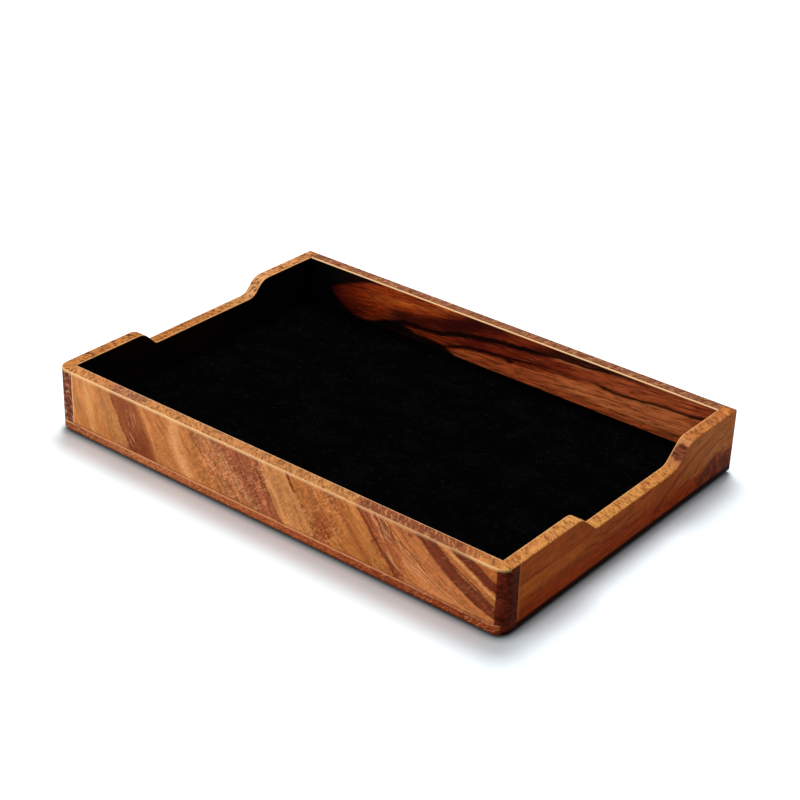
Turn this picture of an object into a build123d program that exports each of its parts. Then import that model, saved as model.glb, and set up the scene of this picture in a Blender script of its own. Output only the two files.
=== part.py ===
"""Valet tray: a low wooden tray with a handle scoop in each end and a velvet lining board inside.

X runs along the tray, Y from front to back and Z up. The origin is the middle of the footprint,
on the table. All lengths are in millimetres.
"""
import os

from build123d import *

os.makedirs("parts", exist_ok=True)

# The box
tray_length = 294.0
tray_width = 202.0
wall_height = 30.3
wall_thickness = 7.5
front_corner_radius = 7.0
back_corner_radius = 0.9
rim_round = 0.8
inner_rim_round = 0.4

# The base board, which carries the four walls and shows as a strip below them
base_thickness = 6.2
base_edge_round = 1.5

# Handle scoops, cut by hand, so the two ends differ. A floor is measured to where its straight line
# would meet the slopes, and a scoop is set back from the middle of its wall
left_scoop_depth = 8.7
left_scoop_floor_length = 78.4
left_scoop_slope_run = 8.8
left_scoop_set_back = 3.9
right_scoop_depth = 11.1
right_scoop_floor_length = 71.6
right_scoop_slope_run = 13.2
right_scoop_set_back = 7.9
scoop_lip_radius = 9.5
scoop_front_radius = 3.0
scoop_back_radius = 9.0

# The loose lining: a stiff board with velvet drawn over its top and down its edges
lining_clearance = 0.25
lining_board_thickness = 2.4
velvet_thickness = 0.6
velvet_edge_round = 0.5

# Blind dowels, which pin each end wall to the ends of the long walls
dowel_diameter = 4.0
dowel_in_end_wall = 4.0
dowel_in_long_wall = 14.0
dowel_chamfer = 0.4
dowel_glue_gap = 0.05
dowel_end_gap = 0.5
dowel_height_shares = (0.24, 0.74)

# Felt pads under the base
pad_diameter = 18.0
pad_thickness = 1.0
pad_inset = 20.0

# How far a cut runs past the face that it opens
overrun = 1.0

# Heights above the table
base_bottom = pad_thickness
wall_bottom = base_bottom + base_thickness
rim_height = wall_bottom + wall_height
board_top = wall_bottom + lining_board_thickness

# Places across the tray
half_length = tray_length / 2
half_width = tray_width / 2
inner_half_length = half_length - wall_thickness
inner_half_width = half_width - wall_thickness
long_wall_centre = half_width - wall_thickness / 2

ends = {"left": -1, "right": 1}
sides = {"front": -1, "back": 1}
scoops = {
    "left": (left_scoop_depth, left_scoop_floor_length, left_scoop_slope_run, left_scoop_set_back),
    "right": (right_scoop_depth, right_scoop_floor_length, right_scoop_slope_run, right_scoop_set_back),
}


def finish(piece, name):
    """Labels a finished piece and writes it to its own file."""
    piece.part.label = name
    export_step(piece.part, f"parts/{name}.step")


def dowel_places(side):
    """Where the two dowels of one corner cross the joint, in Y and Z."""
    return [(side * long_wall_centre, wall_bottom + share * wall_height) for share in dowel_height_shares]


def furthest(shapes, axis, sign):
    """The shape that lies furthest along an axis, or furthest against it where sign is negative."""
    return shapes.sort_by(axis)[-1 if sign > 0 else 0]


def rim_edges_of(face, depth):
    """The edges of a face that follow the rim and a scoop of that depth."""
    return face.edges().filter_by(lambda e: e.center().Z > rim_height - depth - rim_round)


# Base board
with BuildPart() as base_board:
    with BuildSketch(Plane.XY.offset(base_bottom)) as base_outline:
        Rectangle(tray_length, tray_width)
        fillet(base_outline.vertices().group_by(Axis.Y)[0], front_corner_radius)
    extrude(amount=base_thickness)
    fillet(base_board.edges().group_by(Axis.Z)[0], base_edge_round)
    back_uprights = base_board.edges().filter_by(Axis.Z).group_by(Axis.Y)[-1]
    fillet(back_uprights, back_corner_radius)
finish(base_board, "base_board")

# Long walls, which stand on the base between the two end walls
for side_name, side in sides.items():
    with BuildPart() as long_wall:
        with BuildSketch(Plane.XY.offset(wall_bottom)):
            with Locations((0, side * long_wall_centre)):
                Rectangle(2 * inner_half_length, wall_thickness)
        extrude(amount=wall_height)
        for facing, radius in ((side, rim_round), (-side, inner_rim_round)):
            rim_edges = long_wall.edges().filter_by(Axis.X).group_by(Axis.Z)[-1]
            fillet(furthest(rim_edges, Axis.Y, facing), radius)
        for end in ends.values():
            with BuildSketch(Plane.YZ.offset(end * (inner_half_length - dowel_in_long_wall - dowel_end_gap))):
                with Locations(*dowel_places(side)):
                    Circle(dowel_diameter / 2)
            extrude(amount=end * (dowel_in_long_wall + dowel_end_gap + overrun), mode=Mode.SUBTRACT)
    finish(long_wall, f"{side_name}_wall")

# End walls, which run the full width and hold the handle scoops
for end_name, end in ends.items():
    depth, floor_length, slope_run, set_back = scoops[end_name]
    floor_front = set_back - floor_length / 2
    floor_back = set_back + floor_length / 2
    with BuildPart() as end_wall:
        with BuildSketch(Plane.YZ.offset(end * inner_half_length)):
            with BuildLine():
                rim_line = FilletPolyline(
                    (-half_width, rim_height),
                    (floor_front - slope_run, rim_height),
                    (floor_front, rim_height - depth),
                    (floor_back, rim_height - depth),
                    (floor_back + slope_run, rim_height),
                    (half_width, rim_height),
                    radius=(scoop_lip_radius, scoop_front_radius, scoop_back_radius, scoop_lip_radius),
                )
                Polyline(rim_line @ 1, (half_width, wall_bottom), (-half_width, wall_bottom), rim_line @ 0)
            make_face()
        extrude(amount=end * wall_thickness)
        for side, radius in ((-1, front_corner_radius), (1, back_corner_radius)):
            uprights = end_wall.edges().filter_by(Axis.Z).filter_by(lambda e: e.center().X * end > inner_half_length)
            fillet(furthest(uprights, Axis.Y, side), radius)
        fillet(rim_edges_of(furthest(end_wall.faces().filter_by(Axis.X), Axis.X, -end), depth), inner_rim_round)
        # The inner easing stops where the long walls butt, so the rim is filled flush again over the joints
        with BuildSketch(Plane.XY.offset(rim_height)):
            for side in sides.values():
                with Locations((end * (inner_half_length + inner_rim_round / 2), side * long_wall_centre)):
                    Rectangle(inner_rim_round, wall_thickness)
        extrude(amount=-inner_rim_round)
        fillet(rim_edges_of(furthest(end_wall.faces().filter_by(Axis.X), Axis.X, end), depth), rim_round)
        for side in sides.values():
            with BuildSketch(Plane.YZ.offset(end * (inner_half_length + dowel_in_end_wall + dowel_end_gap))):
                with Locations(*dowel_places(side)):
                    Circle(dowel_diameter / 2)
            extrude(amount=-end * (dowel_in_end_wall + dowel_end_gap + overrun), mode=Mode.SUBTRACT)
    finish(end_wall, f"{end_name}_end_wall")

# Dowels, two to a corner
for side_name, side in sides.items():
    for end_name, end in ends.items():
        with BuildPart() as dowels:
            with BuildSketch(Plane.YZ.offset(end * (inner_half_length - dowel_in_long_wall))):
                with Locations(*dowel_places(side)):
                    Circle(dowel_diameter / 2 - dowel_glue_gap)
            extrude(amount=end * (dowel_in_long_wall + dowel_in_end_wall))
            chamfer(dowels.edges().filter_by(GeomType.CIRCLE), dowel_chamfer)
        finish(dowels, f"{side_name}_{end_name}_dowels")

# Lining board and its velvet
velvet_length = 2 * (inner_half_length - lining_clearance)
velvet_width = 2 * (inner_half_width - lining_clearance)
board_length = velvet_length - 2 * velvet_thickness
board_width = velvet_width - 2 * velvet_thickness

with BuildPart() as lining_board:
    with BuildSketch(Plane.XY.offset(wall_bottom)):
        Rectangle(board_length, board_width)
    extrude(amount=lining_board_thickness)
finish(lining_board, "lining_board")

with BuildPart() as velvet_lining:
    with BuildSketch(Plane.XY.offset(wall_bottom)):
        Rectangle(velvet_length, velvet_width)
    extrude(amount=lining_board_thickness + velvet_thickness)
    fillet(velvet_lining.faces().sort_by(Axis.Z)[-1].edges(), velvet_edge_round)
    with BuildSketch(Plane.XY.offset(board_top)):
        Rectangle(board_length, board_width)
    extrude(amount=-(lining_board_thickness + overrun), mode=Mode.SUBTRACT)
finish(velvet_lining, "velvet_lining")

# Foot pads
for side_name, side in sides.items():
    for end_name, end in ends.items():
        with BuildPart() as foot_pad:
            with BuildSketch(Plane.XY):
                with Locations((end * (half_length - pad_inset), side * (half_width - pad_inset))):
                    Circle(pad_diameter / 2)
            extrude(amount=pad_thickness)
        finish(foot_pad, f"foot_pad_{side_name}_{end_name}")
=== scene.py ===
"""Looks of the valet tray: oiled wood walls with their own figure, a velvet lining and felt pads."""
import math

import bmesh
import bpy
from mathutils import Matrix, Vector, noise


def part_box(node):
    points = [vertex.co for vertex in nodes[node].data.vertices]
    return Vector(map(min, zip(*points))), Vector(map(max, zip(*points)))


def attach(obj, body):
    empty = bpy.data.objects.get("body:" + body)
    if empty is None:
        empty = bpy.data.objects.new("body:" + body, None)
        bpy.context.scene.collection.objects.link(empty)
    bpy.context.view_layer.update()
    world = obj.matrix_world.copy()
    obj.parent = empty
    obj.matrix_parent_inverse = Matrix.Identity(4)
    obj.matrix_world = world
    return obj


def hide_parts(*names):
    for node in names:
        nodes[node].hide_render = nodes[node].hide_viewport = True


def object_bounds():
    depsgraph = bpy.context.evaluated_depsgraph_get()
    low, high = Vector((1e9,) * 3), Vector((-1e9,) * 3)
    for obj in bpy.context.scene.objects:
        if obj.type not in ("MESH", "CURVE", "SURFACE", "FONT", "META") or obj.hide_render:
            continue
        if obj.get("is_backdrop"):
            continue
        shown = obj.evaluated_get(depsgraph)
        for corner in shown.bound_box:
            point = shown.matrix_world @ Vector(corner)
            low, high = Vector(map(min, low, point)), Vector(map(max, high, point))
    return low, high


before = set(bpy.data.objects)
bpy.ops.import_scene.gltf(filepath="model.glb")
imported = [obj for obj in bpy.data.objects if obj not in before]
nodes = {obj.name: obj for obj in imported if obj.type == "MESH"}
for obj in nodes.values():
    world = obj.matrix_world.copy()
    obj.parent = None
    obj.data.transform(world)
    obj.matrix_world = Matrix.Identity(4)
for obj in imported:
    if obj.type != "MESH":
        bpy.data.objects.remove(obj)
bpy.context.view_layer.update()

MM = 0.001

# Sizes read from the frame, in millimetres
TRAY_LOW, TRAY_HIGH = (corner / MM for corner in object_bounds())
LENGTH = TRAY_HIGH.x - TRAY_LOW.x
WIDTH = TRAY_HIGH.y - TRAY_LOW.y
WALL = (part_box("right_end_wall")[1].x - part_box("right_end_wall")[0].x) / MM
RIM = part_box("front_wall")[1].z / MM
BASE_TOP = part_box("base_board")[1].z / MM


def linear(hex_colour):
    """An sRGB hex colour as linear red, green, blue and alpha."""
    channels = [int(hex_colour[i:i + 2], 16) / 255 for i in (1, 3, 5)]
    return [c / 12.92 if c <= 0.04045 else ((c + 0.055) / 1.055) ** 2.4 for c in channels] + [1.0]


def add(tree, kind, feeds=None, out=0, stops=None, **settings):
    """Adds a node with its settings, its ramp or curve stops and what feeds its inputs, and gives
    one of its outputs."""
    node = tree.nodes.new("ShaderNode" + kind)
    for name, value in settings.items():
        setattr(node, name, value)
    if kind == "ValToRGB":
        while len(node.color_ramp.elements) < len(stops):
            node.color_ramp.elements.new(1.0)
        for element, (position, hex_colour) in zip(node.color_ramp.elements, stops):
            element.position = position
            element.color = linear(hex_colour)
    if kind == "FloatCurve":
        points = node.mapping.curves[0].points
        while len(points) < len(stops):
            points.new(1.0, 1.0)
        for point, stop in zip(points, stops):
            point.location = stop
        node.mapping.update()
    for socket, value in (feeds or {}).items():
        if isinstance(value, bpy.types.NodeSocket):
            tree.links.new(value, node.inputs[socket])
        else:
            node.inputs[socket].default_value = linear(value) if isinstance(value, str) else value
    return node.outputs[out] if node.outputs else node


class Surface:
    """A material being painted: its tree, the place on it in mm, and the way it faces."""

    def __init__(self, name):
        self.material = bpy.data.materials.new(name)
        self.material.use_nodes = True
        self.tree = self.material.node_tree
        self.tree.nodes.clear()
        where = add(self.tree, "TexCoord", out=3)
        self.place = add(self.tree, "VectorMath", {0: where, 3: 1 / MM}, operation="SCALE")
        split = add(self.tree, "SeparateXYZ", {0: self.place}).node
        facing = add(self.tree, "SeparateXYZ", {0: where.node.outputs[1]}).node
        self.x, self.y, self.z = split.outputs
        self.face_x, self.face_y, self.face_z = facing.outputs
        self.from_left = add(self.tree, "Math", {0: self.x, 1: LENGTH / 2}, operation="ADD")
        self.from_front = add(self.tree, "Math", {0: self.y, 1: WIDTH / 2}, operation="ADD")
        self.depth = add(self.tree, "Math", {0: RIM, 1: self.z}, operation="SUBTRACT")

    def cloud(self, grain, size, detail, roughness=0.5):
        """Noise in lumps of a size in mm along the three axes of the grain."""
        scaled = add(self.tree, "Mapping", {0: grain, 3: [1 / s for s in size]})
        feeds = {0: scaled, "Scale": 1.0, "Detail": detail, "Roughness": roughness}
        return add(self.tree, "TexNoise", feeds)

    def patches(self, grain, size, start, full, detail=2.0):
        """Where noise patches of a size in mm lie: from 0 at the noise value start to 1 at full."""
        feeds = {0: self.cloud(grain, size, detail, 0.55), 1: start, 2: full}
        return add(self.tree, "MapRange", feeds, interpolation_type="SMOOTHSTEP")

    def wander(self, value, grain, size, reach):
        """A place along one axis, shifted to and fro by up to reach mm in waves of a size in mm."""
        feeds = {0: self.cloud(grain, size, 2.0), 1: 0.25, 2: 0.75, 3: -reach, 4: reach}
        shift = add(self.tree, "MapRange", feeds, clamp=False)
        return add(self.tree, "Math", {0: value, 1: shift}, operation="ADD")

    def gap(self, along, across, line, span):
        """How far across lies past a line, given as (along, across) points in mm, with along up to span."""
        share = add(self.tree, "Math", {0: along, 1: span}, operation="DIVIDE")
        edge = add(self.tree, "FloatCurve", {1: share}, stops=[(a / span, c / LENGTH) for a, c in line])
        return add(self.tree, "Math", {0: edge, 1: -LENGTH, 2: across}, operation="MULTIPLY_ADD")

    def streak(self, along, across, line, width, soft, span):
        """A streak of a width in mm that follows a line of (along, across) points, with faded edges."""
        off = add(self.tree, "Math", {0: self.gap(along, across, line, span)}, operation="ABSOLUTE")
        ends = {1: (width + soft) / 2, 2: (width - soft) / 2}
        return add(self.tree, "MapRange", {0: off, **ends}, interpolation_type="SMOOTHSTEP")

    def graded(self, along, span, stops):
        """A colour that changes along a side as long as span, from stops of a place in mm and a colour."""
        share = add(self.tree, "Math", {0: along, 1: span}, operation="DIVIDE")
        return add(self.tree, "ValToRGB", {0: share}, stops=[(mm / span, c) for mm, c in stops])

    def stain(self, colour, over, strength, *masks, blend="MIX"):
        """A colour with another laid over it, as strong as all the masks together allow. A mask is a
        share from 0 to 1, or a value with where it starts and where it is full."""
        share = strength
        for mask in masks:
            if isinstance(mask, tuple):
                ends = {0: mask[0], 1: mask[1], 2: mask[2]}
                mask = add(self.tree, "MapRange", ends, interpolation_type="SMOOTHSTEP")
            share = add(self.tree, "Math", {0: mask, 1: share}, operation="MULTIPLY")
        feeds = {0: share, 6: colour, 7: over}
        return add(self.tree, "Mix", feeds, out=2, data_type="RGBA", blend_type=blend)

    def mottled(self, colour, grain, size, strength):
        """A colour made lighter and darker in turn, in patches of a size in mm."""
        cloud = self.cloud(grain, size, 3.0, 0.6)
        grey = add(self.tree, "ValToRGB", {0: cloud}, stops=((0.3, "#000000"), (0.7, "#ffffff")))
        feeds = {0: strength, 6: colour, 7: grey}
        return add(self.tree, "Mix", feeds, out=2, data_type="RGBA", blend_type="OVERLAY")

    def finish(self, colour, relief, rough=(0.58, 0.46), bump=0.05, specular=0.06):
        """Adds the shader. Roughness follows the colour's lightness, from the first value in black to
        the second in white, and the surface dips by bump mm where relief is 1."""
        lightness = add(self.tree, "RGBToBW", {0: colour})
        roughness = add(self.tree, "MapRange", {0: lightness, 3: rough[0], 4: rough[1]})
        feeds = {"Height": relief, "Strength": 0.7, "Distance": bump * MM}
        normal = add(self.tree, "Bump", feeds, invert=True)
        feeds = {"Base Color": colour, "Roughness": roughness, "Normal": normal}
        shader = add(self.tree, "BsdfPrincipled", {**feeds, "Specular IOR Level": specular})
        add(self.tree, "OutputMaterial", {"Surface": shader})
        return self.material


# Camera: the photograph's own viewpoint
CAMERA_PLACE = Vector((537.6, -680.8, 504.2)) * MM
CAMERA_TURN, CAMERA_DIP, CAMERA_ROLL = (math.radians(a) for a in (38.06, 28.66, 2.0))
CAMERA_LENS = 85.0

camera = bpy.data.objects.new("camera", bpy.data.cameras.new("camera"))
bpy.context.scene.collection.objects.link(camera)
camera.data.lens = CAMERA_LENS
camera.matrix_world = (
    Matrix.Translation(CAMERA_PLACE)
    @ Matrix.Rotation(CAMERA_TURN, 4, "Z")
    @ Matrix.Rotation(math.pi / 2 - CAMERA_DIP, 4, "X")
    @ Matrix.Rotation(CAMERA_ROLL, 4, "Z")
)
bpy.context.scene.camera = camera

# Front of the tray. Each line runs down the face as (mm below the rim, mm from the left corner), and
# the wood right of it takes the colour, over a fade in mm
FRONT_ZONES = (
    (((0, 40.5), (7, 42), (12.7, 44.7), (20, 48.2), (25, 52), (31, 54.5)), 1.2, "#8f4e2f"),
    (((0, 58), (5, 61), (12, 64.5), (18, 67.5), (25, 71.5), (31, 74.5)), 5.5, "#b57444"),
    (((0, 95), (4, 98), (9, 102), (16, 109), (24, 115), (31, 118.5)), 1.4, "#ad6f48"),
    (((0, 112), (10, 122), (20, 132), (31, 140)), 13.0, "#9b5a3d"),
    (((0, 144), (8, 147), (17, 152), (27, 158), (31, 161.5)), 1.8, "#be8150"),
    (((0, 164), (7, 167.5), (15, 174), (22, 179), (31, 182)), 2.4, "#b06d3b"),
    (((0, 206.5), (10, 214), (20, 222.5), (31, 231)), 1.6, "#a35b38"),
    (((0, 221), (6, 227), (13, 231.5), (20, 235), (31, 236)), 6.0, "#bc7546"),
    (((0, 242), (8, 250.8), (17.5, 264), (25, 280), (28, 290), (29, 294)), 2.0, "#70331e"),
    (((0, 253), (4, 258.5), (8, 263), (11.5, 267.5), (16, 277), (20, 287), (22, 294)), 2.0, "#b26c3c"),
    (((0, 261), (5, 270), (10, 280), (13.5, 288), (15, 294)), 2.0, "#672a15"),
    (((0, 272), (4, 281), (8, 289), (9, 294)), 2.0, "#ad6533"),
)

# Thin marks on the front: line, width in mm, fade in mm, colour, strength and the depth where it is gone
FRONT_MARKS = (
    (((0, 33), (5, 31), (10, 29.2), (15, 28.8), (24, 30), (31, 33)), 2.6, 3.4, "#ab6a3c", 0.6, 36),
    (((0, 22), (16, 24), (31, 27)), 4.0, 5.0, "#dba56c", 0.4, 36),
    (((0, 60), (9, 67), (18, 70.8), (26, 74), (31, 76)), 1.8, 2.0, "#d39365", 0.5, 36),
    (((0, 86), (14, 88), (31, 97)), 8.0, 8.0, "#dc9f6e", 0.8, 36),
    (((0, 108), (8, 119), (14, 126), (20, 132), (31, 146)), 4.0, 4.0, "#c8906a", 0.5, 36),
    (((0, 120), (6, 127), (12, 133), (17, 138), (24, 146), (31, 151)), 2.0, 2.4, "#82452a", 0.6, 36),
    (((0, 141.5), (8, 145), (17, 150), (27, 156), (31, 159.5)), 3.0, 3.4, "#86472a", 0.5, 36),
    (((0, 95.8), (4, 98.8), (9, 102.8), (16, 109.8), (24, 115.8), (31, 119.3)),
     1.5, 1.6, "#763a20", 0.55, 36),
    (((0, 203), (10, 208.5), (20, 215), (31, 222)), 4.5, 5.0, "#cb8a4e", 0.5, 36),
    (((0, 192), (10, 199), (17, 205), (24, 211.5), (31, 218)), 3.6, 4.0, "#8d4722", 0.6, 36),
    (((0, 207.3), (10, 214.8), (20, 223.3), (31, 231.8)), 2.2, 1.8, "#662c14", 0.8, 36),
    (((0, 215.4), (6, 219), (13, 223.4), (16, 225)), 1.0, 0.9, "#d8a27a", 0.6, 15),
    (((0, 219.4), (6, 222.6), (13, 226), (16, 228)), 1.0, 0.9, "#d8a27a", 0.6, 14),
    (((0, 218.5), (6, 221.5), (13, 225.5), (18, 229), (23, 232), (31, 240)), 0.9, 0.9, "#66301a", 0.65, 22),
    (((0, 223.5), (8, 232), (15, 243), (21, 252), (25, 262), (28, 272)), 1.1, 1.0, "#6c3114", 0.8, 36),
    (((0, 222), (8, 230.5), (15, 241.5), (21, 250.5), (25, 260.5), (28, 270)), 1.1, 1.2, "#dca477", 0.6, 36),
    (((0, 228), (5, 234), (9, 239), (13, 246.5), (18, 256.5), (22, 264), (26, 276)),
     0.8, 1.0, "#71371a", 0.6, 36),
    (((0, 231), (8, 238), (15, 245), (21, 250.5), (25, 257), (31, 268)), 0.8, 1.0, "#71371a", 0.45, 36),
    (((0, 232), (2, 243), (31, 400)), 2.2, 1.6, "#6c301b", 0.85, 36),
    (((0, 257), (3, 262), (6, 268), (9, 274), (13, 282), (17, 290)), 3.0, 3.6, "#dfa672", 0.8, 36),
)

# How far a grain line moves right for each mm down, along the front, and the most that the curve holds
FRONT_SLANTS = ((0, 0.40), (60, 0.50), (100, 0.75), (165, 0.57), (206, 0.83), (240, 1.2), (268, 1.65),
                (294, 1.85))
STEEPEST = 2.0

# How speckled the front is, in greys, along its length
FRONT_SPECKLED = ((0, "#202020"), (40, "#202020"), (44, "#6a6a6a"), (64, "#4a4a4a"), (96, "#8a8a8a"),
                  (112, "#ffffff"), (146, "#ffffff"), (156, "#7a7a7a"), (176, "#b0b0b0"), (190, "#ffffff"),
                  (204, "#606060"), (240, "#787878"), (246, "#8c8c8c"), (294, "#8c8c8c"))

# The depth that the lines of the front are given over, in mm
FACE_SPAN = 32


def front_figure(s):
    """Oiled heartwood and sapwood in slanting bands. The eye gets pale tan wood, brown and maroon bands
    with soft or seamed edges, and speckled, swirling figure between them."""
    tree = s.tree
    share = add(tree, "Math", {0: s.from_left, 1: LENGTH}, operation="DIVIDE")
    stops = [(mm / LENGTH, slant / STEEPEST) for mm, slant in FRONT_SLANTS]
    slant = add(tree, "FloatCurve", {1: share}, stops=stops)
    slope = add(tree, "Math", {0: slant, 1: -STEEPEST}, operation="MULTIPLY")
    across = add(tree, "Math", {0: slope, 1: s.depth, 2: s.from_left}, operation="MULTIPLY_ADD")
    across = s.wander(across, s.place, (9, 9, 9), 1.8)
    grain = add(tree, "CombineXYZ", {0: across, 1: s.depth, 2: s.y})
    leaning = add(tree, "Mapping", {0: s.place, 2: (0, math.radians(40), 0)})
    edge = s.wander(s.from_left, s.place, (6, 7, 6), 0.8)
    edge = s.wander(edge, s.place, (1.2, 1.2, 1.2), 0.7)

    colour = "#bb7e4e"
    for line, fade, over in FRONT_ZONES:
        past = s.gap(s.depth, edge, line, FACE_SPAN)
        colour = s.stain(colour, over, 1.0, (past, -fade / 2, fade / 2))
    # The first dark band deepens downwards, and the pale wood beside it turns orange there
    colour = s.stain(colour, "#6f3016", 0.75, (s.depth, 12, 28), (edge, 49, 55), (edge, 74, 66))
    orange = s.patches(s.place, (6, 6, 6), 0.4, 0.6)
    colour = s.stain(colour, "#b86c33", 0.5, (s.depth, 19, 28), (edge, 46, 38), orange)
    # A pale edge right of the third seam, brightest at the rim
    beside = ((0, 147.5), (8, 150.5), (17, 155.5), (27, 161.5), (31, 165))
    edging = s.streak(s.depth, edge, beside, 3.0, 3.0, FACE_SPAN)
    colour = s.stain(colour, "#dfa06c", 0.8, edging, (s.depth, 22, 10))
    # Reddish, speckled wood below the seam
    colour = s.stain(colour, "#8f4426", 0.75, (s.depth, 10, 20), (edge, 178, 183), (edge, 194, 187))
    for line, width, soft, over, strength, gone in FRONT_MARKS:
        mark = s.streak(s.depth, edge, line, width, soft, FACE_SPAN)
        colour = s.stain(colour, over, strength, mark, (s.depth, gone, gone - 4))
    # The seam is open at the rim and closes downwards
    seam = ((0, 163.4), (7, 166.6), (15, 173), (22, 178), (31, 181))
    opened = s.streak(s.depth, edge, seam, 1.9, 1.2, FACE_SPAN)
    colour = s.stain(colour, "#6a2c0d", 0.95, (s.depth, 11, 7), opened)
    broken = s.patches(s.place, (2.4, 2.4, 2.4), 0.44, 0.56)
    closed = s.streak(s.depth, edge, seam, 1.7, 1.4, FACE_SPAN)
    colour = s.stain(colour, "#6f3014", 0.85, broken, closed)

    # Broad light and shade, grain lines, and specks in the speckled stretches
    speckled = add(tree, "RGBToBW", {0: s.graded(s.from_left, LENGTH, FRONT_SPECKLED)})
    colour = s.mottled(colour, grain, (6, 26, 14), 0.26)
    lined = add(tree, "MapRange", {0: speckled, 3: 0.16, 4: 0.42})
    colour = s.mottled(colour, grain, (1.5, 11, 9), lined)
    dotted = add(tree, "MapRange", {0: speckled, 3: 0.12, 4: 0.36})
    colour = s.mottled(colour, leaning, (3.0, 3.0, 1.1), dotted)
    drift = s.patches(s.place, (13, 13, 9), 0.34, 0.56)
    specks = s.patches(leaning, (2.8, 2.8, 1.1), 0.52, 0.66)
    colour = s.stain(colour, "#5a2812", 0.46, specks, drift, speckled)
    lights = s.patches(leaning, (3.0, 3.0, 1.1), 0.50, 0.66)
    colour = s.stain(colour, "#dba57e", 0.36, lights, drift, speckled)
    # Swirled growth lines from the dark seam to the corner
    swirl = add(tree, "CombineXYZ", {0: s.wander(across, s.place, (7, 7, 5), 4.0), 1: s.depth})
    lines = s.patches(swirl, (1.8, 26, 26), 0.5, 0.6, 1.0)
    colour = s.stain(colour, "#5a2812", 0.6, (edge, 210, 216), (edge, 246, 238), lines)
    fine = s.patches(grain, (1.3, 20, 20), 0.52, 0.64, 1.0)
    broken = s.patches(s.place, (6, 6, 6), 0.42, 0.62)
    colour = s.stain(colour, "#6a3216", 0.45, (edge, 236, 244), fine, broken)
    # The dark seam ends in a pale curl with a dark line under it
    under = ((0, 210), (16, 223), (21, 226.5), (25, 229.5), (27, 233), (28.2, 240), (31, 262))
    under = s.streak(s.depth, edge, under, 2.2, 2.0, FACE_SPAN)
    colour = s.stain(colour, "#62301a", 0.7, (s.depth, 17, 22), (edge, 246, 240), under)
    curl = ((0, 215), (14, 225.5), (18, 226.5), (21.5, 228.4), (23.6, 231), (24.8, 234), (26, 240), (31, 268))
    curl = s.streak(s.depth, edge, curl, 2.0, 2.2, FACE_SPAN)
    colour = s.stain(colour, "#d39f70", 0.75, (s.depth, 16, 21), (edge, 238, 233), curl)
    # Pale hatching inside the first dark band, and its double right of the seamed edge
    hatch = s.patches(grain, (1.1, 6, 6), 0.52, 0.62, 1.0)
    colour = s.stain(colour, "#cb9070", 0.5, hatch, (edge, 50, 54), (edge, 64, 58), (s.depth, 4, 10))
    colour = s.stain(colour, "#dca37a", 0.6, hatch, (across, 211, 214), (across, 223, 219))
    # The wood is a little darker where it meets the base
    return s.stain(colour, "#6a3015", 0.45, (s.z, BASE_TOP + 0.9, BASE_TOP + 0.3))


# End grain at the left front corner, and its cut pores
BROWN_END_GRAIN = "#7a3c25"
PALE_PORES = "#cf9a80"

# How far end grain reaches along the front from the left corner, and round onto the outer face of an
# end wall from its front corner, and where the near corner's end grain starts, in mm
LEFT_STRIP = 11.3
CORNER_STRIP = 10.6
RIGHT_STRIP_START = 289.0


def end_grain_figure(s, ground, pale, strength):
    """End grain at a front corner: dark, with short slanting flecks where the pores are cut."""
    tilted = add(s.tree, "Mapping", {0: s.place, 2: (0, math.radians(-38), 0)})
    colour = s.stain(ground, "#2c0d06", 0.7, s.patches(s.place, (3, 3, 4), 0.42, 0.62))
    colour = s.stain(colour, "#2c0d06", 0.6, s.patches(tilted, (4.0, 4.0, 1.1), 0.5, 0.6))
    return s.stain(colour, pale, strength, s.patches(tilted, (2.8, 2.8, 0.9), 0.54, 0.64))


# Lines on the outer face of an end wall: (mm from the front, height in mm), width, fade, colour, strength,
# where it starts and is full, and where it is last full and gone
END_MARKS = (
    (((0, 24), (68, 23), (76, 21.6), (84, 19.8), (90, 20), (97, 21.6), (106, 23.4), (202, 25)),
     0.8, 1.2, "#6a2208", 0.75, 66, 74, 100, 108),
    (((0, 18), (64, 19.5), (72, 17.4), (80, 14.8), (88, 14), (96, 14.4), (110, 13), (202, 13)),
     0.8, 1.4, "#6a2208", 0.7, 62, 72, 104, 118),
    (((0, 16), (84, 17), (92, 18), (102, 19.5), (116, 17.5), (202, 13)),
     0.7, 1.2, "#d07a44", 0.5, 82, 90, 100, 112),
    (((0, 12), (104, 13), (112, 14.2), (122, 15.4), (202, 17)),
     0.9, 1.4, "#5e1c08", 0.7, 104, 110, 114, 122),
    (((0, 2), (122, 7), (129, 10), (134, 13.6), (142, 18.4), (152, 22.6), (164, 27.4), (176, 30), (202, 32)),
     2.6, 3.2, "#7a2c10", 0.6, 122, 131, 160, 182),
    (((0, 8), (140, 8), (148, 12.6), (155, 13.6), (160, 14), (170, 15.4), (202, 18)),
     0.9, 1.2, "#5e1c08", 0.7, 143, 148, 154, 160),
    (((0, 8), (150, 12.6), (160, 14.4), (166, 15.2), (173, 18), (179.5, 21.2), (184, 22.8), (202, 26)),
     0.8, 1.2, "#f0a26a", 0.55, 157, 163, 181, 190),
    (((0, 14), (190, 14.6), (196, 15.2), (202, 15)), 1.1, 1.2, "#4a1606", 0.8, 188, 196, 203, 204),
)

# The length that the lines of an end wall are given over, in mm
END_SPAN = 202

# Laid over the long grain of the outer faces at the left and at the back, which the photograph doesn't
# show and which lie in shade
SHADE = "#6f6258"


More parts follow.
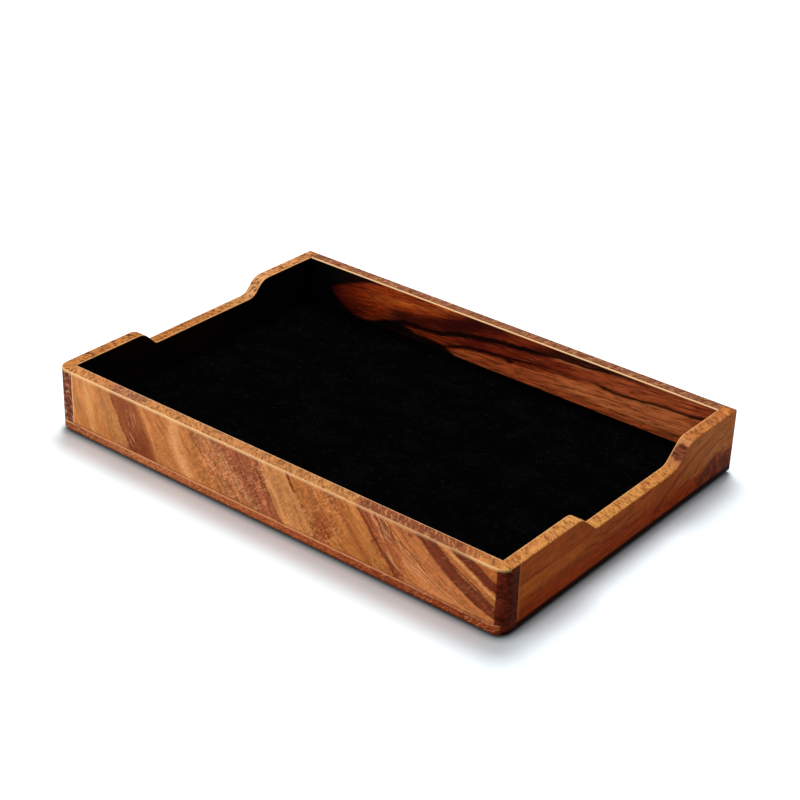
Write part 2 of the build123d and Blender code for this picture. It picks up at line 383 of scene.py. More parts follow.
def end_wall_figure(s):
    """Long grain of an end wall: a pale band over red-brown wood, then waves that rise to the back."""
    tree = s.tree
    height = s.wander(s.z, s.place, (34, 30, 12), 0.9)
    height = s.wander(height, s.place, (9, 9, 4), 0.4)
    rise = add(tree, "Math", {0: s.from_front, 1: -0.06, 2: height}, operation="MULTIPLY_ADD")
    # From the middle of the wall to its back end the grain climbs
    climb = add(tree, "MapRange", {0: s.from_front, 1: 120, 2: 185, 4: 16})
    rise = add(tree, "Math", {0: rise, 1: climb}, operation="SUBTRACT")
    grain = add(tree, "CombineXYZ", {0: rise, 1: s.from_front, 2: s.x})
    colour = s.stain("#b55a25", "#aa4014", 0.85, (height, 20, 9))
    # The pale band under the front part of the rim, with a seam along its top
    colour = s.stain(colour, "#b55a24", 0.9, (s.from_front, 66, 56), (height, 24, 26))
    band = ((s.from_front, 68, 54), (height, 15.5, 18.5), (height, 24.8, 23.5))
    colour = s.stain(colour, "#cb6c2b", 0.85, *band)
    seam = ((0, 25.4), (30, 25.4), (60, 25), (202, 22))
    seam = s.streak(s.from_front, height, seam, 0.9, 1.2, END_SPAN)
    colour = s.stain(colour, "#7c2c0a", 0.8, (s.from_front, 44, 34), seam)
    colour = s.stain(colour, "#d17f44", 0.85, (s.from_front, 138, 164), (height, 12, 22))
    for line, width, soft, over, strength, start, full, last, gone in END_MARKS:
        mark = s.streak(s.from_front, height, line, width, soft, END_SPAN)
        reach = ((s.from_front, start, full), (s.from_front, gone, last))
        colour = s.stain(colour, over, strength, mark, *reach)
    # Darker, broken wood below the pale line at the back end
    dark = ((0, 3), (150, 5), (160, 9), (165, 12), (172, 14.6), (180, 18), (185, 19), (190, 17), (196, 16),
            (202, 16))
    below = s.gap(s.from_front, height, dark, END_SPAN)
    broken = s.patches(s.place, (8, 3.2, 7), 0.36, 0.6)
    colour = s.stain(colour, "#974a26", 0.7, (s.from_front, 160, 172), (below, 1.2, -1.4))
    colour = s.stain(colour, "#551a08", 0.75, (s.from_front, 160, 174), (below, 0.8, -2.4), broken)
    spots = s.patches(s.place, (6, 3.2, 2.6), 0.5, 0.64)
    colour = s.stain(colour, "#5a1c08", 0.6, (s.from_front, 118, 130), (height, 13, 10), spots)
    colour = s.mottled(colour, grain, (4.5, 40, 20), 0.2)
    colour = s.mottled(colour, grain, (1.3, 14, 12), 0.22)
    colour = s.mottled(colour, s.place, (5, 3, 4), 0.16)
    lines = s.patches(grain, (0.9, 12, 10), 0.56, 0.68)
    colour = s.stain(colour, "#6a220a", 0.45, lines, (s.from_front, 40, 80))
    pores = s.patches(grain, (1.3, 4.5, 4), 0.64, 0.72)
    return s.stain(colour, "#4a1505", 0.6, pores, (s.from_front, 40, 90))


# Near-black streaks of the inner faces: line as (mm along, height in mm), width, fade, strength, where it
# starts and is full, and where it is last full and gone
INNER_STREAKS = (
    (((0, 1), (40, 3), (57.5, 9), (70.5, 15), (77.5, 17.5), (87.5, 18.6), (97.5, 19.4), (107.5, 20.9),
      (117.5, 23.5), (127.5, 25.7), (137.5, 27), (146.5, 28.4), (157.5, 29.3), (167.5, 30.7), (177.5, 31.8),
      (187.5, 32.5), (294, 44)), 3.2, 1.8, 0.97, -2, -1, 160, 192),
    (((0, 1), (146.5, 28.6), (157.5, 29.6), (167.5, 31), (177.5, 32), (187.5, 32.8), (197.5, 33.2),
      (207.5, 34), (217.5, 35.3), (232.5, 36.8), (294, 40)), 1.9, 1.8, 0.92, 150, 160, 212, 240),
    (((0, 20), (150, 32.5), (177.5, 34.8), (207.5, 36.4), (232.5, 37), (294, 38)),
     4.6, 3.4, 0.85, 164, 186, 232, 276),
    (((0, 0), (85, 9), (102.5, 11.5), (115.5, 15.2), (122.5, 17.6), (127.5, 18.5), (137.5, 19.4),
      (147.5, 20.6), (157.5, 21.8), (167.5, 22.6), (177.5, 24), (187.5, 25.6), (294, 36)),
     1.6, 1.6, 0.95, 80, 98, 165, 200),
    (((0, 24), (200, 26), (212.5, 25.6), (217.5, 25), (222.5, 24.7), (229.5, 24.9), (239.5, 25.6),
      (252.5, 27), (265.5, 27.8), (277.5, 28.6), (294, 29.4)), 1.9, 1.6, 0.92, 204, 218, 294, 295),
    (((0, 20), (190, 18), (230, 19.5), (250, 19), (275, 21), (294, 22)),
     0.6, 0.9, 0.6, 196, 214, 262, 280),
    (((0, 10), (215, 13.4), (240, 14.4), (262, 14), (294, 16)), 1.2, 2.0, 0.5, 214, 232, 294, 295),
)

# Pale lines under two of the streaks: line, where it starts and is full, and where it is last full and gone
INNER_PALE = (
    (((0, 20), (179, 30.6), (187.5, 31.6), (197.5, 32), (207.5, 32.8), (294, 40)), 180, 190, 206, 216),
    (((0, 20), (229.5, 23.4), (239.5, 24.2), (252.5, 25.6), (265.5, 26.4), (277.5, 27.2), (294, 28)),
     232, 240, 262, 270),
)

# Ground colours along an inner face, by share of its length, black at the corner with painted shade
INNER_GROUND = ((0, "#000000"), (0.06, "#240402"), (0.10, "#4e1205"), (0.16, "#7a2609"), (0.24, "#923611"),
                (0.33, "#8c3310"), (0.42, "#5c170a"), (0.52, "#69200f"), (0.64, "#7c2f17"), (0.80, "#a85230"),
                (0.92, "#9c4a2a"), (1.0, "#6c2814"))

# A knot in the back wall's inner face, in mm
INNER_KNOT = (8, 93, 19.6)


def inner_figure(s, from_end):
    """Dark oiled heartwood. The eye gets red-brown wood that glows under the rim, crossed by long
    near-black streaks, and black in the corner, which is painted shade. from_end runs along the wall."""
    tree = s.tree
    span = LENGTH
    height = s.wander(s.z, s.place, (24, 24, 8), 0.5)
    height = s.wander(height, s.place, (6, 6, 3), 0.35)
    rise = add(tree, "Math", {0: from_end, 1: -0.07, 2: height}, operation="MULTIPLY_ADD")
    grain = add(tree, "CombineXYZ", {0: rise, 1: from_end})
    share = add(tree, "Math", {0: from_end, 1: span}, operation="DIVIDE")
    colour = add(tree, "ValToRGB", {0: share}, stops=INNER_GROUND)
    glow = ((0, 24), (50, 26), (60, 28), (75, 30), (90, 32), (104, 34.5), (120, 39), (294, 60))
    glow = s.streak(from_end, height, glow, 3.6, 5.0, span)
    colour = s.stain(colour, "#b45a24", 0.75, (from_end, 46, 66), glow)
    colour = s.stain(colour, "#4a1004", 0.6, (from_end, 96, 76), (height, 27, 14))
    # Warm brown at the lower right
    under = ((0, 2), (100, 9), (110, 11), (115.5, 13), (121, 15.4), (128, 16.6), (138, 17.6), (147, 18.6),
             (168, 20), (190, 23), (215, 25), (294, 29))
    below = s.gap(from_end, height, under, span)
    colour = s.stain(colour, "#b85a30", 0.9, (from_end, 102, 118), (below, 0.8, -0.8))
    warmest = ((from_end, 168, 204), (from_end, 284, 262), (below, 1, -4), (height, 12, 16))
    colour = s.stain(colour, "#d0784a", 0.8, *warmest)
    colour = s.mottled(colour, grain, (3.5, 36, 8), 0.4)
    colour = s.mottled(colour, grain, (1.1, 14, 8), 0.4)
    lights = s.patches(grain, (1.0, 16, 8), 0.55, 0.68)
    colour = s.stain(colour, "#c06838", 0.35, lights, (from_end, 30, 60))
    colour = s.stain(colour, "#2a0602", 0.7, s.patches(grain, (1.1, 26, 8), 0.54, 0.66))
    colour = s.stain(colour, "#240502", 0.4, s.patches(s.place, (6, 6, 1.4), 0.56, 0.68))
    # Dark maroon wood above the broad streak
    maroon = ((0, 12), (57, 16), (67.5, 20), (77.5, 21.6), (87.5, 22.4), (97.5, 24), (107.5, 26.2),
              (117.5, 29), (127.5, 32.5), (140, 37), (294, 60))
    maroon = s.streak(from_end, height, maroon, 8.0, 4.4, span)
    colour = s.stain(colour, "#2a0405", 0.85, (from_end, 58, 78), maroon)
    # Near-black streaks, with a pale line under two of them
    for line, width, soft, strength, start, full, last, gone in INNER_STREAKS:
        mark = s.streak(from_end, height, line, width, soft, span)
        colour = s.stain(colour, "#0a0100", strength, mark, (from_end, start, full), (from_end, gone, last))
    for pale, start, full, last, gone in INNER_PALE:
        mark = s.streak(from_end, height, pale, 0.8, 1.0, span)
        colour = s.stain(colour, "#cf8a5a", 0.5, mark, (from_end, start, full), (from_end, gone, last))
    knot = add(tree, "VectorMath", {0: s.place, 1: INNER_KNOT}, operation="SUBTRACT")
    knot = add(tree, "VectorMath", {0: knot, 1: (0.6, 1, 1.25)}, operation="MULTIPLY")
    knot = s.wander(add(tree, "VectorMath", {0: knot}, out=1, operation="LENGTH"), s.place, (3, 3, 2), 0.6)
    colour = s.stain(colour, "#160402", 0.9, (knot, 2.8, 0.8))
    # The wood is black below a ragged line, which falls away from the corner
    foot = ((0, 34), (14, 30), (21.5, 24), (27.5, 19), (33.5, 14.5), (41.5, 11.5), (49.5, 10.6), (55.5, 12),
            (62.5, 15), (70.5, 17), (79.5, 16.5), (87.5, 14.5), (102.5, 14), (110.5, 12.5), (117.5, 9),
            (126, 4), (294, 2))
    colour = s.stain(colour, "#030000", 0.98, (s.gap(from_end, height, foot, span), 1.2, -1.2))
    # The corner is black, with a rounded edge that leans away under the rim
    top = ((0, 12), (16, 18), (21.5, 22), (32.5, 27.5), (43.5, 31.8), (53.5, 34.8), (60, 37), (70, 42),
           (294, 60))
    colour = s.stain(colour, "#020000", 0.98, (s.gap(from_end, height, top, span), -1.4, 1.6))
    # Painted shade: black in the corner
    return s.stain(colour, "#000000", 0.99, (s.wander(from_end, s.place, (9, 9, 9), 1.5), 32, 20))


# Rim colours: the front wall from left to right, and the end walls from front to back
FRONT_RIM = ((0, "#ca8850"), (36, "#c8844e"), (40, "#a0674d"), (60, "#9e6a4a"), (66, "#c08350"),
             (150, "#b67b4a"), (203, "#ba804b"), (208, "#904f30"), (240, "#8a492d"), (268, "#955231"),
             (276, "#bb7840"), (294, "#c0824a"))
RIGHT_RIM = ((0, "#c48248"), (20, "#cc894e"), (62, "#d19457"), (75, "#d0944f"), (138, "#cb8a4b"),
             (144, "#bf7e48"), (160, "#ba7643"), (202, "#b66f3c"))
LEFT_RIM = ((0, "#bd7c44"), (50, "#b8763c"), (100, "#b67238"), (138, "#c08a58"), (150, "#cc9a72"),
            (160, "#cc8e5a"), (202, "#c4865a"))


def rim_figure(s, colour, turn, dash=(1.0, 3.6), dark="#6f340f", strength=0.6):
    """Sanded rim. The eye gets bright orange-tan wood, where the cut pores show as short dark dashes that
    lie at an angle to the wall, drawn coarser on the far walls, where they would be too fine to show."""
    turned = add(s.tree, "Mapping", {0: s.place, 2: (0, 0, math.radians(turn))})
    colour = s.mottled(colour, s.place, (4, 4, 4), 0.4)
    colour = s.stain(colour, "#eeb676", 0.42, s.patches(turned, (1.1, 4.5, 4.5), 0.52, 0.66))
    width, length = dash
    return s.stain(colour, dark, strength, s.patches(turned, (width, length, length), 0.52, 0.62))


def eased_edge_highlights(s, colour, cream, strength):
    """A painted highlight on the eased edges of a wall: a cream line along the front one, duller right of the
    middle and bright again at the near corner, which fades into the face below it."""
    fading = add(s.tree, "MapRange", {0: s.from_left, 1: 90, 2: 250, 3: strength, 4: strength * 0.5})
    corner = add(s.tree, "MapRange", {0: s.from_left, 1: 256, 2: 280, 4: strength})
    fading = add(s.tree, "Math", {0: fading, 1: corner}, operation="MAXIMUM")
    front = (s.face_y, -0.25, -0.4)
    colour = s.stain(colour, cream, 0.6, fading, front, (s.face_z, 0.6, 0.3), (s.depth, 1.9, 0.9))
    rounding = ((s.face_z, 0.3, 0.5), (s.face_z, 0.95, 0.86), (s.depth, 1.0, 0.8))
    return s.stain(colour, cream, fading, front, *rounding)


# The oil's own warm tone, laid over all the wood
OIL = "#fdf1dc"


def oiled(s, colour, pores, specular=0.03):
    """The finished wood: the oil's tone over all of it, and open pores of a size in mm as shallow dips,
    drawn coarser than real ones, which are a quarter of a millimetre wide and wouldn't show."""
    colour = s.stain(colour, OIL, 1.0, blend="MULTIPLY")
    return s.finish(colour, s.patches(s.place, pores, 0.5, 0.66), specular=specular)


def oiled_front_wood():
    """Front wall: boards under a satin oil, which shows every band of the figure, with painted highlights
    along the eased and inner edges of the rim. Dark inside.
    """
    s = Surface("oiled_banded_front_wood")
    colour = front_figure(s)
    near = s.wander(s.from_left, s.place, (2, 2, 4), 0.3)
    # A pale line beside the strip of end grain
    colour = s.stain(colour, "#edbb8d", 0.8, (near, LEFT_STRIP + 0.7, LEFT_STRIP + 0.4))
    strip = end_grain_figure(s, BROWN_END_GRAIN, PALE_PORES, 0.8)
    colour = s.stain(colour, strip, 1.0, (near, LEFT_STRIP, LEFT_STRIP - 0.3))
    colour = s.stain(colour, inner_figure(s, s.from_left), 1.0, (s.face_y, 0.3, 0.7))
    rim = rim_figure(s, s.graded(s.from_left, LENGTH, FRONT_RIM), -35)
    # Painted highlight: a pale line along the rim's inner edge
    rim = s.stain(rim, "#f0c9a4", 0.6, (s.from_front, WALL - 0.9, WALL - 0.5))
    colour = s.stain(colour, rim, 1.0, (s.face_z, 0.4, 0.7))
    # Painted highlight: a cream line along the eased edges of the rim
    colour = eased_edge_highlights(s, colour, "#f6d3a8", 0.8)
    return oiled(s, colour, (0.8, 2.5, 1.6), specular=0.06)


def oiled_back_wood():
    """Back wall: dark streaked inner face, a brown rim with a painted highlight as a cream inner edge, and
    long grain outside under painted shade.
    """
    s = Surface("oiled_streaked_back_wood")
    # Painted shade laid over the outer long grain
    outer = s.stain(end_wall_figure(s), SHADE, 1.0, blend="MULTIPLY")
    colour = s.stain(outer, inner_figure(s, s.from_left), 1.0, (s.face_y, 0.0, -0.5))
    rim = rim_figure(s, "#895a47", 40, (1.4, 3.0), strength=0.85)
    colour = s.stain(colour, rim, 1.0, (s.face_z, 0.4, 0.7))
    # Painted highlight: a cream line along the rim's inner edge
    inset = add(s.tree, "Math", {0: s.y, 1: WIDTH / 2 - WALL}, operation="SUBTRACT")
    colour = s.stain(colour, "#f5cfa4", 0.9, (inset, 1.0, 0.7), (s.z, RIM - 0.5, RIM - 0.35))
    return oiled(s, colour, (2.5, 0.8, 1.0))


# A dark knot on the far slope of the right scoop, and where the figure of the end walls' inner faces
# starts, in mm
SCOOP_KNOT = (143.6, 50.5, 33.0)
INNER_START = 150.0


def oiled_end_wood(name, end, rim_stops, turn, corner, corner_pale, corner_strength):
    """End wall: long grain outside, dark inside, end grain at its front corner and a flecked rim and scoop,
    with painted highlights on its eased and inner edges. On the left wall painted shade darkens the outer
    face and lays the inner face near black. end is -1 for the left wall and 1 for the right one."""
    s = Surface(name)
    colour = end_wall_figure(s)
    # Painted shade over the left wall's outer face
    if end < 0:
        colour = s.stain(colour, SHADE, 1.0, blend="MULTIPLY")
    from_corner = s.wander(s.from_front, s.place, (3, 3, 5), 0.25)
    colour = s.stain(colour, "#cf7a42", 0.5, (from_corner, CORNER_STRIP + 2.4, CORNER_STRIP + 0.3))
    end_grain = end_grain_figure(s, corner, corner_pale, corner_strength)
    colour = s.stain(colour, end_grain, 1.0, (from_corner, CORNER_STRIP, CORNER_STRIP - 0.4))
    colour = s.stain(colour, end_grain, 1.0, (s.face_y, 0.6, 0.8))
    if end > 0:
        # The front figure runs on a little over the end wall's face
        strip = (s.from_left, RIGHT_STRIP_START, RIGHT_STRIP_START - 0.6)
        colour = s.stain(colour, front_figure(s), 1.0, strip, (s.face_y, -0.6, -0.8))
    side = add(s.tree, "Math", {0: s.face_x, 1: -end}, operation="MULTIPLY")
    from_end = add(s.tree, "Math", {0: INNER_START, 1: s.from_front}, operation="SUBTRACT")
    # The inner face is near black on the left wall, which is painted shade, and a little darker on the right
    # one
    inner = s.stain(inner_figure(s, from_end), "#010000", 0.985 if end < 0 else 0.3)
    colour = s.stain(colour, inner, 1.0, (side, 0.3, 0.7))
    rim = s.graded(s.from_front, WIDTH, rim_stops)
    if end < 0:
        rim = rim_figure(s, rim, turn, (1.5, 2.6), "#4c1f08", 0.85)
    else:
        rim = rim_figure(s, rim, turn)
        knot = add(s.tree, "VectorMath", {0: s.place, 1: SCOOP_KNOT}, out=1, operation="DISTANCE")
        ragged = s.wander(knot, s.place, (2.5, 2.5, 2.5), 1.6)
        streaks = s.patches(s.place, (9, 1.3, 1.3), 0.4, 0.6)
        rim = s.stain(rim, "#bd8058", 0.8, (ragged, 9.0, 6.0))
        rim = s.stain(rim, "#7c4632", 0.9, (ragged, 5.8, 3.6))
        rim = s.stain(rim, "#43190f", 0.9, (ragged, 5.0, 2.6), streaks)
    # A painted highlight makes the inner edge cream, but not over the joints, where it isn't eased
    inset = add(s.tree, "Math", {0: s.x, 1: end, 2: WALL - LENGTH / 2}, operation="MULTIPLY_ADD")
    open_front = (s.from_front, WALL - 0.2, WALL + 0.4)
    open_back = (s.from_front, WIDTH - WALL + 0.2, WIDTH - WALL - 0.4)
    rim = s.stain(rim, "#f0bd84", 0.6, (inset, 0.9, 0.5), open_front, open_back)
    colour = s.stain(colour, rim, 1.0, (s.face_z, 0.4, 0.62))
    # Painted highlight: a cream line along the eased edges of the rim
    colour = eased_edge_highlights(s, colour, "#f0c68f", 0.8)
    return oiled(s, colour, (0.8, 2.5, 1.0))


# Colours of the base board's front edge, by share of its length
BASE_GROUND = ((0, "#8f4f33"), (0.2, "#ad6a46"), (0.4, "#a55c38"), (0.55, "#9f5432"), (0.8, "#8b4023"),
               (1, "#823a1f"))


def oiled_base_wood():
    """Base board: mottled red-brown edges with a painted highlight as a pale line on top, dark below with
    painted shade, and plain underneath.
    """
    s = Surface("oiled_mottled_base_wood")
    share = add(s.tree, "Math", {0: s.from_left, 1: LENGTH}, operation="DIVIDE")
    colour = add(s.tree, "ValToRGB", {0: share}, stops=BASE_GROUND)
    height = s.wander(s.z, s.place, (9, 9, 5), 0.5)
    grain = add(s.tree, "CombineXYZ", {0: s.x, 1: s.y, 2: height})
    leaning = add(s.tree, "Mapping", {0: s.place, 2: (0, math.radians(30), 0)})
    colour = s.mottled(colour, grain, (3.5, 3.5, 1.4), 0.45)
    colour = s.stain(colour, "#cf9470", 0.45, s.patches(leaning, (3.0, 3.0, 0.8), 0.54, 0.66))
    colour = s.stain(colour, "#43170a", 0.6, s.patches(leaning, (2.2, 2.2, 0.8), 0.54, 0.66))
    # A painted highlight, a pale line below the joint with the walls, duller to the right, and the dark joint
    # itself
    shine = s.patches(s.place, (12, 12, 9), 0.28, 0.46)
    duller = (s.from_left, 380, 170)
    upright = (s.face_z, 0.9, 0.7)
    line = (s.z, BASE_TOP - 1.4, BASE_TOP - 1.1)
    colour = s.stain(colour, "#e2a780", 0.56, shine, duller, line, upright)
    joint = s.patches(s.place, (14, 14, 9), 0.38, 0.56)
    colour = s.stain(colour, "#5a2a18", 0.7, joint, (s.z, BASE_TOP - 0.4, BASE_TOP - 0.15), upright)
    # Painted shade: the lower edge darkens towards the table
    colour = s.stain(colour, "#2c0f08", 0.7, (s.z, 3.4, 1.8))
    # The end edges carry on the end wall's grain, under painted shade on the left one, and turn almost black
    # towards the table, which is painted shade too
    turned = add(s.tree, "Math", {0: s.face_x}, operation="ABSOLUTE")
    side = s.stain(end_wall_figure(s), SHADE, 1.0, (s.face_x, -0.3, -0.6), blend="MULTIPLY")
    side = s.stain(side, "#050000", 0.98, (s.z, 6.0, 4.6))
    strip = end_grain_figure(s, "#6a2818", "#8a4a34", 0.4)
    corner = (s.from_front, CORNER_STRIP, CORNER_STRIP - 0.4)
    side = s.stain(side, strip, 0.9, corner, (s.z, 3.0, 4.5))
    colour = s.stain(colour, side, 1.0, (turned, 0.45, 0.75))
    under = s.stain("#6b3a22", "#4f2814", 0.9, s.patches(s.place, (40, 2.2, 4), 0.4, 0.62))
    colour = s.stain(colour, under, 1.0, (s.face_z, -0.6, -0.75))
    return oiled(s, colour, (2.5, 0.8, 1.0))


def turned_beech():
    """Dowels: plain turned beech, pale with short flecks, drawn a little coarser than real ones."""
    s = Surface("turned_beech")
    flecks = s.patches(s.place, (3, 0.5, 0.5), 0.5, 0.66)
    colour = s.stain("#c9a87c", "#a98557", 0.6, flecks)
    return s.finish(colour, flecks, rough=(0.7, 0.6))


def pressed_grey_board():
    """Lining board: pressed grey board with short paper fibres, drawn coarser than real ones, to show."""
    s = Surface("pressed_grey_board")
    fibres = s.patches(s.place, (1.2, 0.5, 0.4), 0.48, 0.66)
    colour = s.stain("#8d8983", "#6f6b66", 0.6, fibres)
    return s.finish(colour, fibres, rough=(0.95, 0.85))


def woven_black_velvet():
    """Lining cloth: short black pile that gives back almost no light, with faint blue-grey patches of painted
    sheen and light lint. The real pile is finer than a tenth of a millimetre, so it is drawn coarser, to
    show."""
    s = Surface("woven_black_velvet")
    pile = s.patches(s.place, (0.9, 0.9, 0.9), 0.42, 0.66)
    # Painted sheen: faint blue-grey patches over the pile
    colour = s.stain("#030303", "#0c0c10", 0.9, s.patches(s.place, (22, 17, 10), 0.45, 0.66), pile)
    colour = s.stain(colour, "#151518", 0.6, s.patches(s.place, (3, 3, 3), 0.54, 0.68), pile)
    colour = s.stain(colour, "#3a3a40", 0.8, s.patches(s.place, (0.8, 0.8, 0.8), 0.74, 0.8))
    return s.finish(colour, pile, rough=(1.0, 0.95), bump=0.15, specular=0.0)


def pressed_felt():
    """Foot pads: dark pressed felt with a matted, slightly pilled face. Real fibres are as fine as hair, so
    they are drawn coarser, to show."""
    s = Surface("pressed_dark_felt")
    fibres = s.patches(s.place, (0.5, 1.4, 0.5), 0.4, 0.68)
    colour = s.stain("#2a2320", "#453a34", 1.0, fibres)
    return s.finish(colour, fibres, rough=(1.0, 0.9), bump=0.12, specular=0.1)


# The CAD nodes that stay, with their materials
left_end_wood = oiled_end_wood("oiled_left_end_wood", -1, LEFT_RIM, 38, BROWN_END_GRAIN, PALE_PORES, 0.8)
right_end_wood = oiled_end_wood("oiled_right_end_wood", 1, RIGHT_RIM, -62, "#612216", "#7d3a28", 0.5)
beech = turned_beech()
material_of = {
    "front_wall": oiled_front_wood(),
    "back_wall": oiled_back_wood(),
    "left_end_wall": left_end_wood,
    "right_end_wall": right_end_wood,
    "base_board": oiled_base_wood(),
    "lining_board": pressed_grey_board(),
    "front_left_dowels": beech,
    "front_right_dowels": beech,
    "back_left_dowels": beech,
    "back_right_dowels": beech,
}
for node_name, node_material in material_of.items():
    nodes[node_name].data.materials.clear()
    nodes[node_name].data.materials.append(node_material)


def mesh_from(bm, name):
    """A mesh in metres from one built in mm, with its faces turned outwards."""
    bmesh.ops.recalc_face_normals(bm, faces=bm.faces)
    bmesh.ops.scale(bm, vec=(MM, MM, MM), verts=bm.verts)
    mesh = bpy.data.meshes.new(name)
    bm.to_mesh(mesh)
    bm.free()
    return mesh


def new_piece(name, mesh, material, node):
    """Links a modelled piece that stands for a CAD node, which it hides, and rides on the tray."""
    mesh.materials.append(material)
    for polygon in mesh.polygons:
        polygon.use_smooth = True
    piece = bpy.data.objects.new(name, mesh)
    bpy.context.scene.collection.objects.link(piece)
    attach(piece, "root")
    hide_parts(node)
    return piece


# Velvet: one sheet over the board, turned down its edges over a small round. Its sizes are in mm: the
# field swells a little below the lining's top, and the hem stops just above the base
VELVET_LOW, VELVET_HIGH = (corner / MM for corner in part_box("velvet_lining"))
CLOTH_THICKNESS = 0.5
EDGE_ROUND = 1.2
ROLL_STEPS = 5
CELL = 2.0
SWELL = 0.05
FIELD_DROP = 0.07
HEM_CLEARANCE = 0.1
CORNER_REACH = 0.8
NEAR = 0.001


def velvet_mesh():
    """The sheet in mm: a level field of small cells, with its border rolled over the board's edge."""
    half_x = VELVET_HIGH.x - EDGE_ROUND
    half_y = VELVET_HIGH.y - EDGE_ROUND
    cells_x = round(2 * half_x / CELL)
    cells_y = round(2 * half_y / CELL)
    bm = bmesh.new()
    rows = []
    for j in range(cells_y + 1):
        y = -half_y + 2 * half_y * j / cells_y
        row = []
        for i in range(cells_x + 1):
            x = -half_x + 2 * half_x * i / cells_x
            # Long swells of about 20 mm, with smaller ones of 8 mm on them
            swell = noise.noise(Vector((x / 23, y / 19, 0))) + 0.5 * noise.noise(Vector((x / 8, y / 8, 4)))
            row.append(bm.verts.new((x, y, VELVET_HIGH.z - FIELD_DROP + SWELL * swell)))
        rows.append(row)
    for low, high in zip(rows, rows[1:]):
        for i in range(cells_x):
            bm.faces.new((low[i], low[i + 1], high[i + 1], high[i]))
    # The border runs once round the field, and each ring of the roll lies further out and down
    border = rows[0] + [row[-1] for row in rows[1:-1]] + rows[-1][::-1] + [row[0] for row in rows[-2:0:-1]]
    turns = [math.pi / 2 * k / ROLL_STEPS for k in range(1, ROLL_STEPS + 1)]
    roll = [(math.sin(a) * EDGE_ROUND, (1 - math.cos(a)) * EDGE_ROUND) for a in turns]
    roll.append((EDGE_ROUND, VELVET_HIGH.z - VELVET_LOW.z - HEM_CLEARANCE))
    start = [vert.co.copy() for vert in border]
    last = border
    for out, down in roll:
        ring = []
        for point in start:
            way_x = math.copysign(1, point.x) if abs(abs(point.x) - half_x) < NEAR else 0
            way_y = math.copysign(1, point.y) if abs(abs(point.y) - half_y) < NEAR else 0
            way = Vector((way_x, way_y, 0))
            if way_x and way_y:
                way *= CORNER_REACH
            ring.append(bm.verts.new((point.x + way.x * out, point.y + way.y * out, point.z - down)))
        for i in range(len(ring)):
            bm.faces.new((last[i - 1], ring[i - 1], ring[i], last[i]))
        last = ring
    return mesh_from(bm, "velvet_cloth")


velvet = new_piece("velvet_cloth", velvet_mesh(), woven_black_velvet(), "velvet_lining")
thickness = velvet.modifiers.new("cloth_thickness", "SOLIDIFY")
thickness.thickness = CLOTH_THICKNESS * MM
thickness.offset = -1

# Pads: felt discs, in mm
PAD_EDGE = 0.25
PAD_RAGGED = 0.12
PAD_WAVES = 6
PAD_SIDES = 48


def pad_mesh(name):
    """A round felt pad in mm with softly rounded rims, a little uneven where it was cut."""
    low, high = (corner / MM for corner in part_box(name))
    centre = (low + high) / 2
    radius = (high.x - low.x) / 2
    profile = [(0.0, low.z), (radius - PAD_EDGE, low.z), (radius, low.z + PAD_EDGE),
               (radius, high.z - PAD_EDGE), (radius - PAD_EDGE, high.z), (0.0, high.z)]
    bm = bmesh.new()
    rings = []
    for out, height in profile:
        if out == 0.0:
            rings.append([bm.verts.new((centre.x, centre.y, height))] * PAD_SIDES)
            continue
        ring = []
        for k in range(PAD_SIDES):
            angle = 2 * math.pi * k / PAD_SIDES
            around = Vector((math.cos(angle) * PAD_WAVES, math.sin(angle) * PAD_WAVES, centre.x))
            reach = out - PAD_RAGGED * abs(noise.noise(around))
            x = centre.x + reach * math.cos(angle)
            y = centre.y + reach * math.sin(angle)
            ring.append(bm.verts.new((x, y, height)))
        rings.append(ring)
    for low_ring, high_ring in zip(rings, rings[1:]):
        for k in range(PAD_SIDES):
            corners = [low_ring[k - 1], low_ring[k], high_ring[k], high_ring[k - 1]]
            bm.faces.new(list(dict.fromkeys(corners)))
    return mesh_from(bm, name + "_felt")


felt = pressed_felt()
for pad_name in ("foot_pad_front_left", "foot_pad_front_right", "foot_pad_back_left", "foot_pad_back_right"):
    pad = new_piece(pad_name + "_felt", pad_mesh(pad_name), felt, pad_name)

# Floor and light. The table and the studio look white to the camera and in a gloss, and shine on the
# tray at lower levels
FLOOR_SIZE = 8.0
FLOOR_TINT = (0.92, 1.0, 1.045)
FLOOR_LIGHT, FLOOR_SEEN = 0.35, 1.25
STUDIO_LIGHT, STUDIO_SEEN = 0.34, 1.0
LAMP_DISTANCE = 1.6


def seen_level(tree, unseen, seen):
    """The level seen by the camera, in a gloss and through clear stuff, and the unseen one for the rest."""
    path = add(tree, "LightPath").node
    ray = add(tree, "Math", {0: path.outputs["Is Camera Ray"], 1: path.outputs["Is Glossy Ray"]},
              operation="MAXIMUM")
    ray = add(tree, "Math", {0: ray, 1: path.outputs["Is Transmission Ray"]}, operation="MAXIMUM")
    return add(tree, "MapRange", {0: ray, 3: unseen, 4: seen})


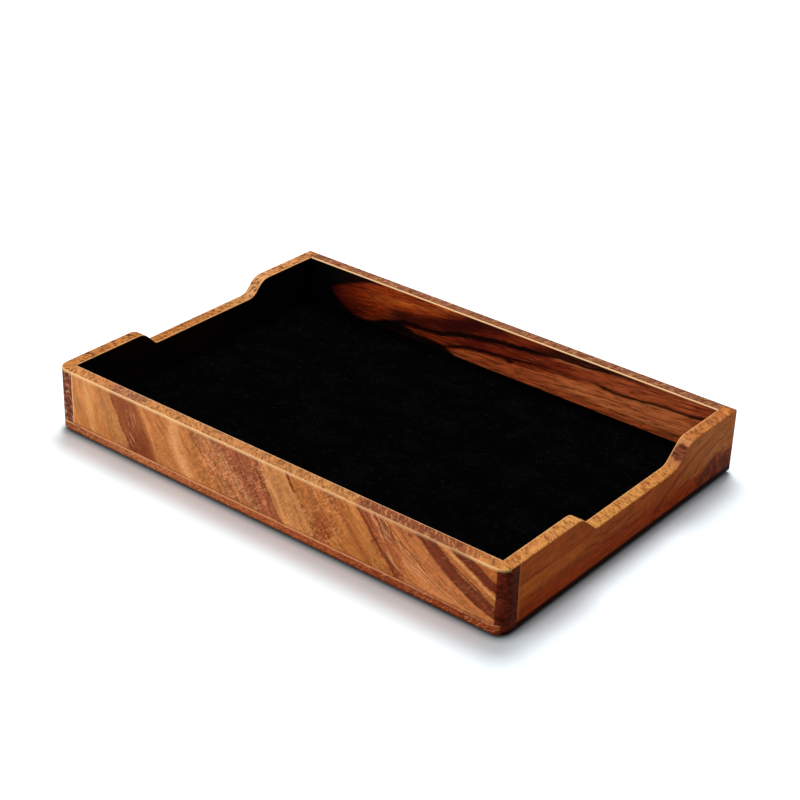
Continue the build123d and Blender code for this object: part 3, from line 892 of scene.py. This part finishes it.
def matt_white_table():
    """Table: matt white paint with a faint grain, and a painted shadow where it lies right under the tray."""
    material = bpy.data.materials.new("white_table")
    material.use_nodes = True
    tree = material.node_tree
    tree.nodes.clear()
    grain = add(tree, "TexNoise", {"Scale": 300.0})
    paint = seen_level(tree, FLOOR_LIGHT, FLOOR_SEEN)
    paint = add(tree, "Math", {0: grain, 1: 0.02, 2: paint}, operation="MULTIPLY_ADD")
    # Painted shadow: the paint darkens where the tray shelters it
    painted_contact_shadow = add(tree, "AmbientOcclusion", {"Distance": 5 * MM}, out=1, samples=8)
    paint = add(tree, "Math", {0: paint, 1: painted_contact_shadow}, operation="MULTIPLY")
    tinted = add(tree, "VectorMath", {0: FLOOR_TINT, 3: paint}, operation="SCALE")
    matt = add(tree, "BsdfDiffuse", {0: tinted})
    add(tree, "OutputMaterial", {"Surface": matt})
    return material


half = FLOOR_SIZE / 2
floor_mesh = bpy.data.meshes.new("floor")
corners = [(-half, -half, 0), (half, -half, 0), (half, half, 0), (-half, half, 0)]
floor_mesh.from_pydata(corners, [], [(0, 1, 2, 3)])
floor_mesh.materials.append(matt_white_table())
floor = bpy.data.objects.new("floor", floor_mesh)
bpy.context.scene.collection.objects.link(floor)
floor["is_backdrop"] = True

world = bpy.data.worlds.new("studio")
bpy.context.scene.world = world
world.use_nodes = True
world.node_tree.nodes.clear()
level = seen_level(world.node_tree, STUDIO_LIGHT, STUDIO_SEEN)
back = add(world.node_tree, "Background", {0: (1, 1, 1, 1), 1: level})
add(world.node_tree, "OutputWorld", {"Surface": back})


def soft_box(name, way, size, level):
    """A rectangular lamp that shines on the tray from a direction, with a level that doesn't depend on how
    far off it stands."""
    lamp = bpy.data.objects.new(name, bpy.data.lights.new(name, "AREA"))
    lamp.data.shape = "RECTANGLE"
    lamp.data.size, lamp.data.size_y = size
    lamp.data.energy = level * (math.pi * LAMP_DISTANCE) ** 2
    lamp.location = Vector(way).normalized() * LAMP_DISTANCE
    lamp.rotation_mode = "QUATERNION"
    lamp.rotation_quaternion = (-lamp.location).to_track_quat("-Z", "Y")
    bpy.context.scene.collection.objects.link(lamp)


soft_box("overhead_lamp", (-0.22, 0.36, 0.90), (0.8, 0.8), 0.78)
soft_box("front_lamp", (-0.30, -0.94, 0.15), (1.2, 0.4), 0.72)

bpy.context.scene.view_settings.view_transform = "Standard"
